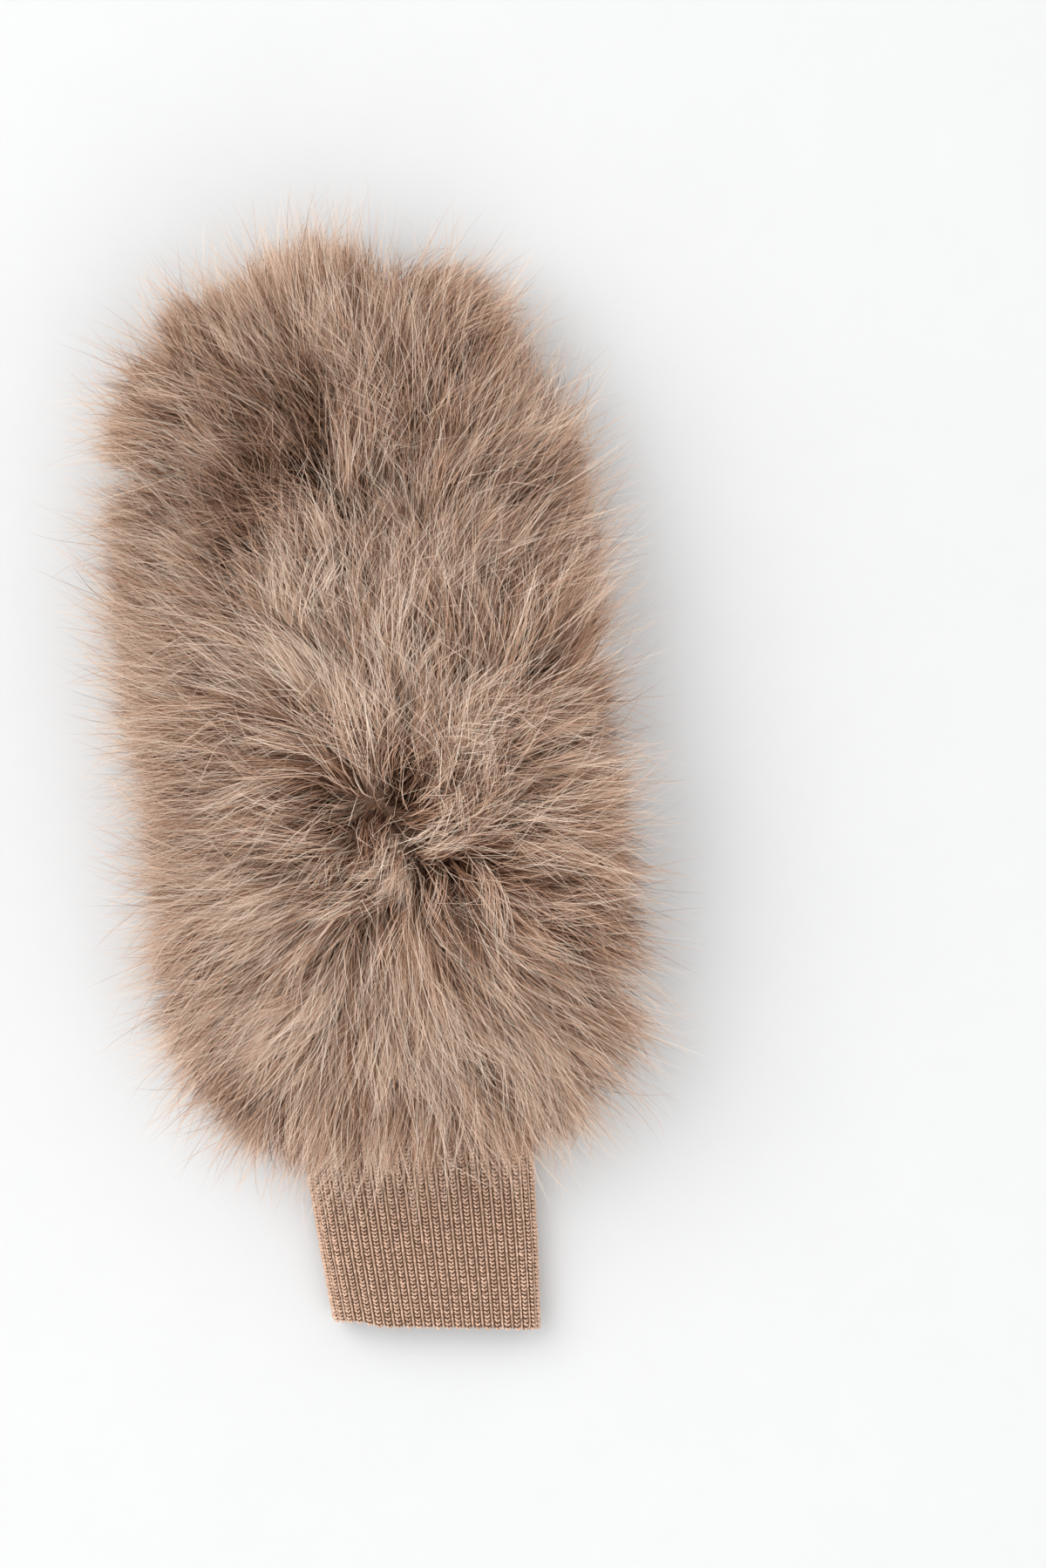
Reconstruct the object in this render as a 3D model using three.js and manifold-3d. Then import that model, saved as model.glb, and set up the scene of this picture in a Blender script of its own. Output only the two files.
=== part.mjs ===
// A fur mitten for the left hand, lying palm down: a deep fur back, a suede palm and thumb, and a ribbed cuff.
// Lengths are in millimetres. X runs across to the thumb side, Y from the cuff's hem to the fingertips, Z up.
import * as THREE from "three";
import { mergeVertices } from "three/addons/utils/BufferGeometryUtils.js";
import Module from "manifold-3d";

const wasm = await Module();
wasm.setup();

// Driving dimensions: the seams
const seamGap = 0.35; // clearance between two sewn pieces
const suedeWall = 2; // thickness of the suede of palm and thumb

// Driving dimensions: the cuff
const cuffLength = 70.6; // hem to wrist seam
const hemWidth = 59.2; // flat width at the hem
const wristWidth = 68; // flat width at the wrist seam
const cuffHeight = 13; // thickness of the flattened tube
const knitWall = 3; // doubled rib knit
const ribCount = 48; // ribs all the way round
const ribDepth = 0.7; // depth of the groove between two ribs
const hemRoll = 0.6; // how far the hem draws in
const hemSkew = 3.6; // how far the hem hangs lower at the thumb side than in the middle, and higher at the other side

// Driving dimensions: the palm and the hand space above it
const palmLength = 219.5; // wrist seam to fingertips
const palmWidth = 91.5; // greatest width between the seams
const palmRest = 0.5; // height of the palm's underside above the surface it lies on
const seamRise = 4; // how far the palm's edge turns up to its seam
const handDepth = 18; // greatest height of the hand space
const crotchFold = 1.6; // depth of the fold at the thumb's crotch
const tipDent = 2.4; // depth of the dent near the fingertips

// Driving dimensions: the thumb
const thumbStart = 17; // wrist seam to the lower end of the thumb's mouth
const thumbMouth = 70; // length of the thumb's mouth along the palm
const thumbOffset = 20.5; // centre line to the thumb's mouth
const thumbReach = 45.5; // mouth to tip, measured across
const thumbHeight = 12; // thickness of the flattened pocket
const thumbSlope = 14; // width of the slope by which the palm climbs over the thumb

// Driving dimensions: the fur
const furOverCuff = 23; // how far the hair hangs over the cuff
const furPastTips = 16; // how far the hair reaches past the fingertip seam
const furBorder = 25.5; // hair outside the side seams
const furDepth = 30; // hair and backing above the hand space
const lockReach = 7; // how far a lock stands out of the mass of the fur
const lockLean = 27; // how far a lock's tip lies along the nap
const lockWidth = 16;
const lockThickness = 10;
const lockRoot = 6; // how deep a lock's root lies in the mass
const lockScatter = 0.7; // turn of the locks to either side of the nap, in radians
const lockDroop = 0.12; // fall of a lock towards its tip, as a share of its lean
const lockSpacing = 16; // distance between the locks of a row
const lockRows = 16;
const partingDent = 6; // depth of the parting where locks fall both ways

// Palm outline: each row is a place along the palm, as a share of its length.
// left and right are shares of half the palm's width, depth is a share of the hand space's height.
const palmRows = [
  { along: 0.0, left: 0.73, right: 0.73, depth: 0.4 },
  { along: 0.087, left: 0.84, right: 0.81, depth: 0.58 },
  { along: 0.223, left: 0.935, right: 0.9, depth: 0.88 },
  { along: 0.405, left: 0.985, right: 0.95, depth: 1.0 },
  { along: 0.588, left: 1.0, right: 0.957, depth: 1.0 },
  { along: 0.747, left: 1.0, right: 1.0, depth: 0.96 },
  { along: 0.834, left: 0.985, right: 0.87, depth: 0.86 },
  { along: 0.907, left: 0.93, right: 0.62, depth: 0.68 },
  { along: 0.952, left: 0.8, right: 0.4, depth: 0.5 },
  { along: 0.984, left: 0.56, right: 0.1, depth: 0.3 },
  { along: 1.0, left: 0.36, right: -0.2, depth: 0.15 },
];

// Fur outline: each row is a place along the fur, left and right are shares of half its width, top of its height.
const furRows = [
  { along: 0.0, left: 0.44, right: 0.4, top: 0.52 },
  { along: 0.035, left: 0.72, right: 0.74, top: 0.68 },
  { along: 0.077, left: 0.87, right: 0.94, top: 0.83 },
  { along: 0.135, left: 0.95, right: 1.0, top: 0.93 },
  { along: 0.19, left: 0.985, right: 0.985, top: 0.98 },
  { along: 0.293, left: 0.985, right: 0.995, top: 1.0 },
  { along: 0.429, left: 0.985, right: 0.965, top: 0.98 },
  { along: 0.579, left: 1.0, right: 0.965, top: 1.0 },
  { along: 0.734, left: 1.03, right: 0.937, top: 0.97 },
  { along: 0.826, left: 0.963, right: 0.86, top: 0.9 },
  { along: 0.88, left: 0.88, right: 0.795, top: 0.8 },
  { along: 0.923, left: 0.75, right: 0.72, top: 0.68 },
  { along: 0.969, left: 0.52, right: 0.5, top: 0.5 },
  { along: 1.0, left: 0.3, right: 0.26, top: 0.34 },
];

// Thumb outline: each row is a place across, as a share of its reach.
// low and high are shares of the mouth's length from its lower end, height is a share of the pocket's height.
const thumbRows = [
  { across: 0.0, low: 0.0, high: 1.0, height: 1.0 },
  { across: 0.165, low: 0.13, high: 1.114, height: 1.0 },
  { across: 0.34, low: 0.3, high: 1.23, height: 1.0 },
  { across: 0.516, low: 0.514, high: 1.357, height: 1.0 },
  { across: 0.67, low: 0.743, high: 1.464, height: 0.96 },
  { across: 0.802, low: 1.0, high: 1.557, height: 0.88 },
  { across: 0.9, low: 1.257, high: 1.621, height: 0.76 },
  { across: 0.967, low: 1.44, high: 1.65, height: 0.62 },
  { across: 1.0, low: 1.53, high: 1.62, height: 0.5 },
];

// Cuff sections: each row is a place along the cuff, spread is the share of the way from hem width to wrist width.
const cuffRows = [
  { along: 0.0, spread: 0.0, roll: 1 },
  { along: 0.018, spread: 0.02, roll: 0 },
  { along: 0.33, spread: 0.4, roll: 0 },
  { along: 0.67, spread: 0.72, roll: 0 },
  { along: 1.0, spread: 1.0, roll: 0 },
];

// Soft forms: across and along are shares of the palm's width and length, radius a share of its length.
const crotch = { across: -0.04, along: 0.03, radius: 0.04 }; // from the upper end of the thumb's mouth
const dent = { across: 0.3, along: 0.87, radius: 0.09 }; // from the middle of the wrist seam
const parting = { across: -0.3, along: 0.72, radius: 0.1 };
const whorl = { across: 0.06, along: 0.325 }; // where the nap starts, combed outwards all round
const seamTurn = { side: 0.78, tip: 0.93 }; // where the palm's edge starts to turn up, as shares of half width and length

// Roundness: the powers that shape a section, 2 and 0.5 being an ellipse
const handRound = { across: 2.4, up: 0.6 };
const furRound = 0.85;
const thumbSwell = 0.62; // above 0.5 the pocket has a flat top and a flat bottom, wider with a greater value
const sideTuck = THREE.MathUtils.degToRad(28); // how far below its widest level the fur meets the surface it lies on
const widestLevel = 0.3; // height of the fur's widest level, as a share of its height

// Places worked out from the driving dimensions
const wristSeam = cuffLength + seamGap;
const palmTip = wristSeam + palmLength;
const furStart = cuffLength - furOverCuff;
const furEnd = palmTip + furPastTips;
const furHalfWidth = palmWidth / 2 + furBorder;
const furHeight = palmRest + suedeWall + handDepth + furDepth;
const thumbLow = wristSeam + thumbStart;
const thumbTip = thumbOffset + thumbReach;
const palmLift = thumbHeight + 2 * seamGap - palmRest;
const underFloor = -2 * lockRoot; // the cutting bodies start here, below the surface that the mitten lies on
const palmPoint = ({ across, along }) => new THREE.Vector2(across * palmWidth, wristSeam + along * palmLength);
const napStart = palmPoint(whorl);

const fraction = (value) => value - Math.floor(value);
const jitter = (seed) => fraction(Math.sin(seed * 12.9898) * 43758.5453) - 0.5;
const lerp = THREE.MathUtils.lerp;
const smooth = THREE.MathUtils.smoothstep;

// The value of a table's column at a place between its rows, on a smooth curve through them.
function tableValue(rows, key, place, column) {
  const last = rows.length - 1;
  let i = rows.findIndex((row) => row[key] > place) - 1;
  if (i < -1) i = last - 1;
  i = Math.max(0, i);
  const [a, b, c, d] = [i - 1, i, i + 1, i + 2].map((k) => rows[Math.min(last, Math.max(0, k))]);
  const t = THREE.MathUtils.clamp((place - b[key]) / (c[key] - b[key]), 0, 1);
  const slopeIn = ((c[column] - a[column]) / (c[key] - a[key] || 1)) * (c[key] - b[key]);
  const slopeOut = ((d[column] - b[column]) / (d[key] - b[key] || 1)) * (c[key] - b[key]);
  const rise = c[column] - b[column];
  const bend = slopeIn * t * (1 - t) ** 2 - slopeOut * t ** 2 * (1 - t);
  return b[column] + rise * (3 * t ** 2 - 2 * t ** 3) + bend;
}

// A closed three.js geometry as a solid that can be joined and cut; corners closer than a thousandth become one.
function solidOf(geometry) {
  const bare = geometry.clone();
  bare.deleteAttribute("normal");
  bare.deleteAttribute("uv");
  const merged = mergeVertices(bare, 1e-3);
  const corners = [];
  for (let i = 0; i < merged.index.count; i += 3) {
    const [a, b, c] = [0, 1, 2].map((k) => merged.index.getX(i + k));
    if (a !== b && b !== c && c !== a) corners.push(a, b, c);
  }
  const vertProperties = new Float32Array(merged.attributes.position.array);
  return new wasm.Manifold(new wasm.Mesh({ numProp: 3, vertProperties, triVerts: new Uint32Array(corners) }));
}

function geometryOf(solid) {
  const { vertProperties, triVerts, numProp, numVert } = solid.getMesh();
  const positions = new Float32Array(3 * numVert);
  for (let i = 0; i < numVert; i++) positions.set(vertProperties.subarray(i * numProp, i * numProp + 3), 3 * i);
  const geometry = new THREE.BufferGeometry();
  geometry.setAttribute("position", new THREE.BufferAttribute(positions, 3));
  geometry.setIndex(new THREE.BufferAttribute(new Uint32Array(triVerts), 1));
  return geometry;
}

// The largest body alone, without crumbs that a cut leaves or pores that close between two locks.
function mainBody(solid) {
  const parts = solidOf(geometryOf(solid)).decompose();
  return parts.reduce((best, part) => (part.volume() > best.volume() ? part : best));
}

function geometryFrom(points, corners) {
  const geometry = new THREE.BufferGeometry().setFromPoints(points);
  geometry.setIndex(corners);
  return geometry;
}

// A closed body between a lower and an upper surface, each a function of shares across (0 to 1) and along (0 to 1).
function blockBetween(columns, rows, lower, upper) {
  const points = [];
  const corners = [];
  const across = columns + 1;
  const layer = across * (rows + 1);
  for (const surface of [lower, upper])
    for (let j = 0; j <= rows; j++)
      for (let i = 0; i <= columns; i++) points.push(surface(i / columns, j / rows));
  const quad = (a, b, c, d) => corners.push(a, b, c, a, c, d);
  for (let j = 0; j < rows; j++)
    for (let i = 0; i < columns; i++) {
      const k = j * across + i;
      quad(k, k + across, k + across + 1, k + 1);
      quad(layer + k, layer + k + 1, layer + k + across + 1, layer + k + across);
    }
  for (let i = 0; i < columns; i++) {
    const far = rows * across + i;
    quad(i, i + 1, layer + i + 1, layer + i);
    quad(far + 1, far, layer + far, layer + far + 1);
  }
  for (let j = 0; j < rows; j++) {
    const left = j * across;
    const right = left + columns;
    quad(left + across, left, layer + left, layer + left + across);
    quad(right, right + across, layer + right + across, layer + right);
  }
  return solidOf(geometryFrom(points, corners));
}

// A closed body through rings of equal count, each ring convex.
function loft(rings) {
  const count = rings[0].length;
  const points = rings.flat();
  const corners = [];
  for (let r = 0; r + 1 < rings.length; r++)
    for (let i = 0; i < count; i++) {
      const a = r * count + i;
      const b = r * count + ((i + 1) % count);
      corners.push(a, b, b + count, a, b + count, a + count);
    }
  const last = (rings.length - 1) * count;
  for (let i = 1; i + 1 < count; i++) {
    corners.push(0, i + 1, i);
    corners.push(last, last + i, last + i + 1);
  }
  return solidOf(geometryFrom(points, corners));
}

// Thumb: a flattened pocket with its sections at places across the mitten
function thumbEdge(across, column) {
  return thumbLow + thumbMouth * tableValue(thumbRows, "across", across, column);
}

// The pocket grown by a margin, or shrunk by a negative one; its mouth end moves out by mouthShift.
function thumbBody(grow, mouthShift) {
  const sides = 16;
  const rings = thumbRows.map((row, index) => {
    const end = index === 0 ? -mouthShift : index === thumbRows.length - 1 ? 1.5 * grow : 0.5 * grow;
    const x = thumbOffset + thumbReach * row.across + end;
    const low = thumbEdge(row.across, "low") - grow;
    const high = Math.max(thumbEdge(row.across, "high") + grow, low + suedeWall / 2);
    const height = thumbHeight * row.height;
    return Array.from({ length: sides }, (_, i) => {
      const angle = (2 * Math.PI * i) / sides;
      const swell = THREE.MathUtils.clamp(thumbSwell * Math.sin(angle), -0.5, 0.5);
      const y = (low + high) / 2 + ((high - low) / 2) * Math.cos(angle);
      return new THREE.Vector3(x, y, height / 2 + swell * (height + 2 * grow));
    });
  });
  return loft(rings);
}

// Palm: heights of the suede sheet, and the space for the hand above it
function palmPlace(u, v) {
  const left = (palmWidth / 2) * tableValue(palmRows, "along", v, "left");
  const right = (palmWidth / 2) * tableValue(palmRows, "along", v, "right");
  return { x: lerp(-left, right, u), y: wristSeam + palmLength * v };
}

// How far the palm is lifted over the thumb, 0 to 1.
function thumbCover(x, y) {
  const across = THREE.MathUtils.clamp((x - thumbOffset) / thumbReach, 0, 1);
  const low = thumbEdge(across, "low");
  const high = thumbEdge(across, "high");
  const climb = smooth(x, thumbOffset, thumbOffset + thumbSlope);
  return climb * smooth(y, low - thumbSlope, low) * (1 - smooth(y, high, high + thumbSlope));
}

// A round bump of height 1 at a centre.
function bump(x, y, centre, radius) {
  return Math.exp(-((x - centre.x) ** 2 + (y - centre.y) ** 2) / (radius * palmLength) ** 2);
}

const crotchPoint = new THREE.Vector2(
  thumbOffset + crotch.across * palmWidth,
  thumbEdge(0, "high") + crotch.along * palmLength,
);
const dentPoint = palmPoint(dent);
const partingPoint = palmPoint(parting);

// The palm's underside; its edge turns up to the seam.
function palmUnder(u, v) {
  const { x, y } = palmPlace(u, v);
  const edge = smooth(Math.abs(2 * u - 1), seamTurn.side, 1) + smooth(v, seamTurn.tip, 1);
  const lift = palmLift * thumbCover(x, y) + seamRise * Math.min(1, edge);
  const fold = crotchFold * bump(x, y, crotchPoint, crotch.radius);
  const hollow = tipDent * bump(x, y, dentPoint, dent.radius);
  return new THREE.Vector3(x, y, palmRest + lift + fold + hollow);
}

function palmUpper(u, v) {
  return palmUnder(u, v).setZ(palmUnder(u, v).z + suedeWall);
}

function handCeiling(u, v) {
  const round = (1 - Math.abs(2 * u - 1) ** handRound.across) ** handRound.up;
  const height = handDepth * tableValue(palmRows, "along", v, "depth") * round;
  const point = palmUpper(u, v);
  return point.setZ(point.z + seamGap + height);
}

const palmColumns = 14;
const palmSteps = 18;

// The column that holds palm and hand space, cleared out of the fur with the seam's gap round it.
function handCut() {
  const widen = (point, u, v) => {
    point.x += seamGap * Math.sign(u - 0.5) * (u === 0 || u === 1 ? 1 : 0);
    point.y += v === 0 ? -2 * seamGap : v === 1 ? seamGap : 0;
    return point;
  };
  const floor = (u, v) => widen(palmUnder(u, v).setZ(underFloor), u, v);
  return blockBetween(palmColumns, palmSteps, floor, (u, v) => widen(handCeiling(u, v), u, v));
}

// What lies above the palm's underside, cut away from the thumb so that its mouth opens into the hand space.
function mouthCut() {
  const low = (u, v) => {
    const point = palmUnder(u, v);
    return point.setZ(Math.max(point.z - seamGap, suedeWall + seamGap));
  };
  return blockBetween(palmColumns, palmSteps, low, (u, v) => palmUnder(u, v).setZ(furHeight));
}

function makePalm() {
  return blockBetween(palmColumns, palmSteps, palmUnder, palmUpper).subtract(thumbBody(seamGap, seamGap));
}

function makeThumb() {
  const hollow = thumbBody(-suedeWall, 2 * suedeWall);
  return thumbBody(0, 0).subtract(hollow).subtract(mouthCut());
}

// Cuff: a flattened tube of ribs
function stadiumPoint(halfWidth, height, share) {
  const radius = height / 2;
  const flat = 2 * (halfWidth - radius);
  const arc = Math.PI * radius;
  const walk = fraction(share) * 2 * (flat + arc);
  const side = walk < flat + arc ? 1 : -1;
  const rest = walk - (side === 1 ? 0 : flat + arc);
  if (rest < flat) return new THREE.Vector2(side * (rest - flat / 2), -side * radius);
  const turn = (rest - flat) / radius - Math.PI / 2;
  return new THREE.Vector2(side * (flat / 2 + radius * Math.cos(turn)), side * radius * Math.sin(turn));
}

function ribbedOutline() {
  const groove = [
    { place: 0, depth: ribDepth },
    { place: 0.3, depth: 0 },
    { place: 0.7, depth: 0 },
  ];
  const points = [];
  for (let rib = 0; rib < ribCount; rib++)
    for (const { place, depth } of groove) {
      const share = (rib + place) / ribCount;
      points.push(stadiumPoint(wristWidth / 2 - depth, cuffHeight - 2 * depth, share));
    }
  return points;
}

function makeCuff() {
  const shape = new THREE.Shape(ribbedOutline());
  const holeSides = 36;
  const holeWidth = wristWidth / 2 - knitWall;
  const hole = Array.from({ length: holeSides }, (_, i) => {
    return stadiumPoint(holeWidth, cuffHeight - 2 * knitWall, (i + 0.5) / holeSides);
  });
  shape.holes.push(new THREE.Path(hole));
  const steps = cuffRows.length - 1;
  const tube = new THREE.ExtrudeGeometry(shape, { depth: steps, steps, bevelEnabled: false });
  const position = tube.attributes.position;
  for (let i = 0; i < position.count; i++) {
    const row = cuffRows[Math.round(position.getZ(i))];
    const width = lerp(hemWidth, wristWidth, row.spread) - 2 * hemRoll * row.roll;
    const height = 1 - (2 * hemRoll * row.roll) / cuffHeight;
    const x = (-position.getX(i) * width) / wristWidth;
    const skew = (2 * hemSkew * (1 - row.along) * x) / hemWidth;
    position.setXYZ(i, x, row.along * cuffLength - skew, cuffHeight / 2 + position.getY(i) * height);
  }
  return solidOf(tube);
}

// The cuff's plain outside with the seam's gap round it, cleared out of the fur.
function cuffCut() {
  const sides = 40;
  const ring = (y) =>
    Array.from({ length: sides }, (_, i) => {
      const point = stadiumPoint(wristWidth / 2 + seamGap, cuffHeight + 2 * seamGap, i / sides);
      return new THREE.Vector3(point.x, y, cuffHeight / 2 + point.y);
    });
  return loft([ring(wristSeam), ring(furStart - lockLean)]);
}

// Fur: the mass under the locks
const furColumns = 16;
const furSteps = 15;

function furSection(v) {
  const left = furHalfWidth * tableValue(furRows, "along", v, "left") - lockReach;
  const right = furHalfWidth * tableValue(furRows, "along", v, "right") - lockReach;
  return {
    centre: (right - left) / 2,
    half: Math.max((right + left) / 2, lockReach / 2),
    top: furHeight * tableValue(furRows, "along", v, "top") - lockReach,
    y: lerp(furStart + lockReach, furEnd - lockReach, v),
  };
}

function furUpper(u, v) {
  const { centre, half, top, y } = furSection(v);
  const angle = lerp(Math.PI + sideTuck, -sideTuck, u);
  const x = centre + half * Math.cos(angle);
  const level = widestLevel * top;
  const rise = Math.sin(angle);
  const valley = partingDent * bump(x, y, partingPoint, parting.radius) * Math.max(0, rise);
  const z = rise > 0 ? level + (top - level) * rise ** furRound : level * (1 + rise / Math.sin(sideTuck));
  return new THREE.Vector3(x, y, z - valley);
}

function furUnder(u, v) {
  const { centre, half, y } = furSection(v);
  return new THREE.Vector3(centre + half * Math.cos(sideTuck) * (2 * u - 1), y, 0);
}

function furNormal(u, v) {
  const step = 0.01;
  const across = furUpper(Math.min(1, u + step), v).sub(furUpper(Math.max(0, u - step), v));
  const along = furUpper(u, Math.min(1, v + step)).sub(furUpper(u, Math.max(0, v - step)));
  return across.cross(along).normalize();
}

// One lock: a keeled, tapering leaf that leaves the mass and bends over along the nap.
const lockSections = [
  { along: 0, width: 0.8 },
  { along: 0.52, width: 1 },
];

function makeLock(u, v, seed) {
  const root = furUpper(u, v);
  const normal = furNormal(u, v);
  const nap = new THREE.Vector3(root.x - napStart.x, root.y - napStart.y, 0).normalize();
  nap.applyAxisAngle(new THREE.Vector3(0, 0, 1), lockScatter * jitter(seed)).setZ(-lockDroop);
  const lean = lockLean * (1 - 0.8 * Math.max(0, normal.dot(nap))) * (1 + 0.4 * jitter(seed + 0.3));
  const reach = lockReach * (1 + 0.5 * jitter(seed + 0.6));
  const size = 1 + 0.3 * jitter(seed + 0.8);
  const start = root.clone().addScaledVector(normal, -lockRoot);
  const bend = root.clone().addScaledVector(normal, 0.9 * reach).addScaledVector(nap, 0.3 * lean);
  const tip = root.clone().addScaledVector(normal, reach).addScaledVector(nap, lean);
  const spine = new THREE.QuadraticBezierCurve3(start, bend, tip);
  const chord = tip.clone().sub(start).normalize();
  const side = chord.clone().cross(normal);
  if (side.length() < 0.35) side.copy(chord).cross(new THREE.Vector3(0, 0, 1));
  side.normalize();
  const points = [];
  for (const { along, width } of lockSections) {
    const centre = spine.getPoint(along);
    const tangent = spine.getTangent(along);
    const up = side.clone().cross(tangent).normalize();
    const keel = lockThickness * size * width;
    const half = (lockWidth * size * width) / 2;
    points.push(centre.clone().addScaledVector(side, -half).addScaledVector(up, -keel / 2));
    points.push(centre.clone().addScaledVector(up, keel / 2));
    points.push(centre.clone().addScaledVector(side, half).addScaledVector(up, -keel / 2));
  }
  points.push(tip);
  const corners = [0, 2, 1];
  for (let ring = 0; ring < lockSections.length; ring++)
    for (let i = 0; i < 3; i++) {
      const a = 3 * ring + i;
      const b = 3 * ring + ((i + 1) % 3);
      if (ring === lockSections.length - 1) corners.push(a, b, points.length - 1);
      else corners.push(a, b, b + 3, a, b + 3, a + 3);
    }
  return solidOf(geometryFrom(points, corners));
}

function furLocks() {
  const locks = [];
  for (let row = 0; row < lockRows; row++) {
    const v = (row + 0.5) / lockRows;
    const { half, top } = furSection(v);
    const girth = Math.PI * Math.sqrt((half ** 2 + top ** 2) / 2);
    const count = Math.max(3, Math.round(girth / lockSpacing));
    for (let i = 0; i < count; i++) {
      const seed = 100 * row + i;
      const u = (i + 0.5 + 0.25 * (row % 2 ? 1 : -1) + 0.3 * jitter(seed)) / count;
      locks.push(makeLock(u, v + (0.4 * jitter(seed + 0.5)) / lockRows, seed));
    }
  }
  return locks;
}

function floorCut() {
  const slab = new THREE.BoxGeometry(4 * furHalfWidth, 2 * (furEnd - furStart), -underFloor + lockReach);
  slab.translate(0, (furStart + furEnd) / 2, (underFloor - lockReach) / 2);
  return solidOf(slab);
}

function makeFur() {
  const mass = blockBetween(furColumns, furSteps, furUnder, furUpper);
  const fur = wasm.Manifold.union([mass, ...furLocks()]);
  const cut = wasm.Manifold.union([handCut(), cuffCut(), thumbBody(seamGap, seamGap), floorCut()]);
  return mainBody(fur.subtract(cut));
}

// Finishes
const fur = new THREE.MeshStandardMaterial({ color: 0xb08f7a, roughness: 0.95, metalness: 0 });
const suede = new THREE.MeshStandardMaterial({ color: 0xa78773, roughness: 0.9, metalness: 0 });
const ribKnit = new THREE.MeshStandardMaterial({ color: 0xaf8c78, roughness: 0.95, metalness: 0 });

const mitten = new THREE.Group();

function addPiece(name, solid, material) {
  const mesh = new THREE.Mesh(geometryOf(solid), material);
  mesh.name = name;
  mitten.add(mesh);
}

addPiece("back_fur_panel", makeFur(), fur);
addPiece("palm_panel", makePalm(), suede);
addPiece("thumb", makeThumb(), suede);
addPiece("cuff", makeCuff(), ribKnit);

// The origin is the middle of the surface that the mitten lies on.
const box = new THREE.Box3().setFromObject(mitten);
mitten.position.set(-(box.min.x + box.max.x) / 2, -(box.min.y + box.max.y) / 2, -box.min.z);

export default mitten;
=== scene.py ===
import math

import bpy
import numpy as np
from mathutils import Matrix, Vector
from mathutils.kdtree import KDTree


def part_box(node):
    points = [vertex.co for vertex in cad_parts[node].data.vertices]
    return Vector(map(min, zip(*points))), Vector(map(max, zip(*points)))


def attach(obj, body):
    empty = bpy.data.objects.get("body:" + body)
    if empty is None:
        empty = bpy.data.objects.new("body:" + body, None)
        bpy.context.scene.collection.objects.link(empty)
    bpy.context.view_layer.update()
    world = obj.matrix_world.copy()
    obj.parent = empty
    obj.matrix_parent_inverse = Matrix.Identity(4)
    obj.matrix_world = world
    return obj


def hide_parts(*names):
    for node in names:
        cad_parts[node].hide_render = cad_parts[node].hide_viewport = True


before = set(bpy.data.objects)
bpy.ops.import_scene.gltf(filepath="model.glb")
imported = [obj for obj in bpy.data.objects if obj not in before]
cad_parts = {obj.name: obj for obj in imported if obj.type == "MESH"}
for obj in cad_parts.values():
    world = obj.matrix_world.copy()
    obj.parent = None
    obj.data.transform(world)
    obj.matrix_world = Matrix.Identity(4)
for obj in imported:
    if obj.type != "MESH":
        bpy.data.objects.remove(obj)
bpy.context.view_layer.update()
mm = 0.001

furLow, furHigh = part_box("back_fur_panel")
palmLow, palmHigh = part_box("palm_panel")
thumbLow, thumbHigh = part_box("thumb")
cuffLow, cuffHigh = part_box("cuff")
cuffMiddle = (cuffLow.x + cuffHigh.x) / 2


# small helpers

def deselectAll():
    bpy.ops.object.select_all(action="DESELECT")


def makeActive(piece):
    deselectAll()
    piece.select_set(True)
    bpy.context.view_layer.objects.active = piece


def unit(vectors):
    return vectors / np.maximum(np.linalg.norm(vectors, axis=-1, keepdims=True), 1e-9)


def mix(a, b, share):
    return a + (b - a) * share


def smoothStep(value, start, end):
    share = np.clip((value - start) / (end - start), 0, 1)
    return share * share * (3 - 2 * share)


def meshPoints(piece):
    points = np.empty(3 * len(piece.data.vertices), np.float32)
    piece.data.vertices.foreach_get("co", points)
    return points.reshape(-1, 3).astype(float)


def setPoints(piece, points):
    piece.data.vertices.foreach_set("co", points.astype(np.float32).ravel())
    piece.data.update()


def applyModifier(piece, kind, **settings):
    makeActive(piece)
    bpy.ops.object.modifier_add(type=kind)
    modifier = piece.modifiers[-1]
    for key, value in settings.items():
        setattr(modifier, key, value)
    bpy.ops.object.modifier_apply(modifier=modifier.name)


# a flat grid, laid out by a function of shares across (0 to 1) and along (0 to 1)
def gridPiece(name, columns, rows, place):
    deselectAll()
    bpy.ops.mesh.primitive_grid_add(x_subdivisions=columns, y_subdivisions=rows, size=2)
    piece = bpy.context.object
    piece.name = name
    piece.data.name = name
    flat = meshPoints(piece)
    setPoints(piece, place((flat[:, 0] + 1) / 2, (flat[:, 1] + 1) / 2))
    return piece


# the shares across and along of that grid's points, in their order
def gridShares(columns, rows):
    across, along = np.linspace(0, 1, columns + 1), np.linspace(0, 1, rows + 1)
    along, across = np.meshgrid(along, across, indexing="ij")
    return np.stack([across.ravel(), along.ravel()], axis=1)


# turns the faces outwards, and joins a rolled-up grid where its edges meet
def closeUp(piece, weld=True):
    makeActive(piece)
    bpy.ops.object.mode_set(mode="EDIT")
    bpy.ops.mesh.select_all(action="SELECT")
    if weld:
        bpy.ops.mesh.remove_doubles(threshold=0.01 * mm)
    bpy.ops.mesh.normals_make_consistent(inside=False)
    bpy.ops.object.mode_set(mode="OBJECT")


def finishPiece(piece, material, slot, *replaced):
    piece.data.materials.clear()
    piece.data.materials.append(material)
    makeActive(piece)
    bpy.ops.object.shade_smooth()
    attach(piece, "root")
    if replaced:
        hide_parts(*replaced)


# materials

def linear(red, green, blue):
    def channel(value):
        value /= 255
        return value / 12.92 if value <= 0.04045 else ((value + 0.055) / 1.055) ** 2.4
    return (channel(red), channel(green), channel(blue), 1)


def newMaterial(name, roughness):
    material = bpy.data.materials.new(name)
    material.use_nodes = True
    nodes = material.node_tree.nodes
    shader = nodes["Principled BSDF"]
    shader.inputs["Roughness"].default_value = roughness
    return material, nodes, material.node_tree.links, shader


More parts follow.
